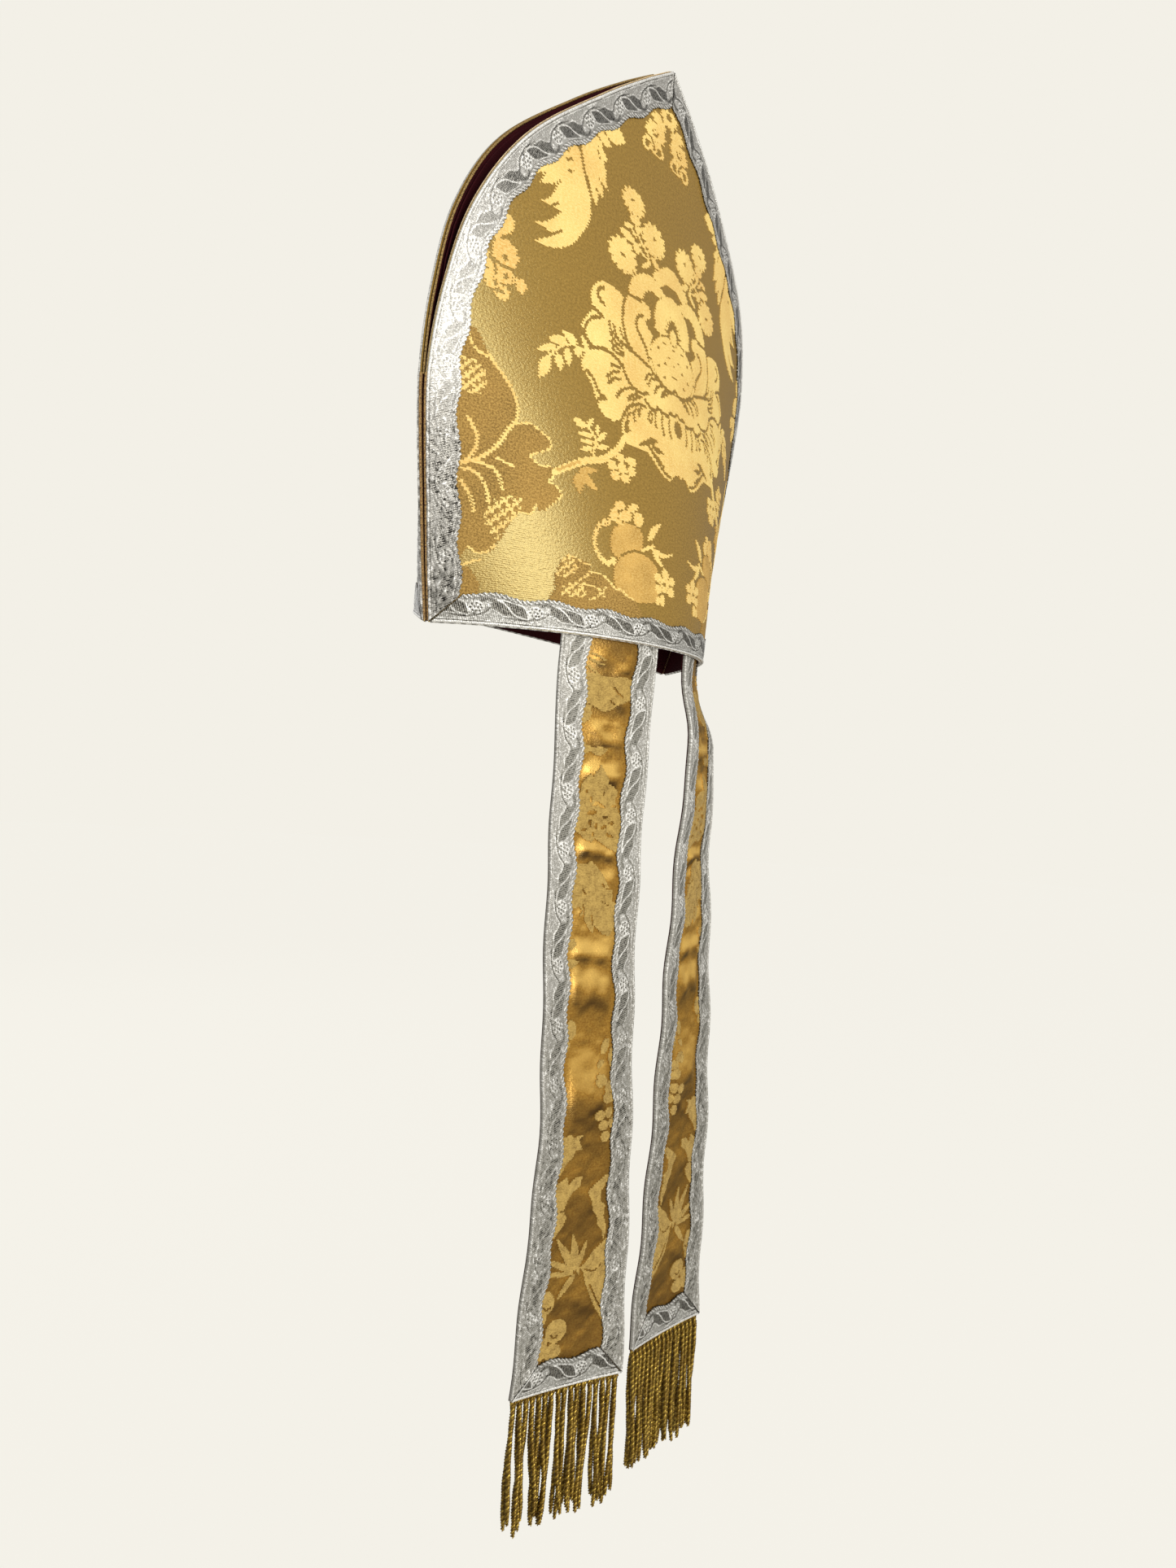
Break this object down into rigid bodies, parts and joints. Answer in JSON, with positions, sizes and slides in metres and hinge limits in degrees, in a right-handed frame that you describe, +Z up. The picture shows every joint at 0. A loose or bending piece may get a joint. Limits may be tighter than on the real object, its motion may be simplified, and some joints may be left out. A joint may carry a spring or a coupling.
{
  "type": "bishop's mitre",
  "caption": "Pointed liturgical mitre of gold floral brocade edged with silver galloon, with a lined fold between its points and fringed lappets hanging behind.",
  "frame": {"origin": "middle of the rim opening, where the mitre sits on the head", "axes": "+Z up, along the hanging lappets; +Y towards the back of the head, the side with the lappets; +X towards the wearer's left"},
  "size_m": [0.301, 0.1551, 0.7953],
  "materials": {
    "brocade": "satin-ground floral brocade with raised pale gold motifs",
    "silver_galloon": "woven metallic braid with a scalloped inner edge",
    "burgundy_cloth": "matt lining cloth",
    "bullion": "twisted metallic cord"
  },
  "bodies": {
    "root": {"back_panel": "brocade", "front_panel": "brocade", "inner_fold": "burgundy_cloth", "galloon_back_left": "silver_galloon", "galloon_back_right": "silver_galloon", "galloon_back_rim": "silver_galloon", "galloon_front_left": "silver_galloon", "galloon_front_right": "silver_galloon", "galloon_front_rim": "silver_galloon", "lappet_left": "brocade", "lappet_right": "brocade", "lappet_left_trim": "silver_galloon", "lappet_right_trim": "silver_galloon", "fringe_left": "bullion", "fringe_right": "bullion"}
  },
  "joints": []
}
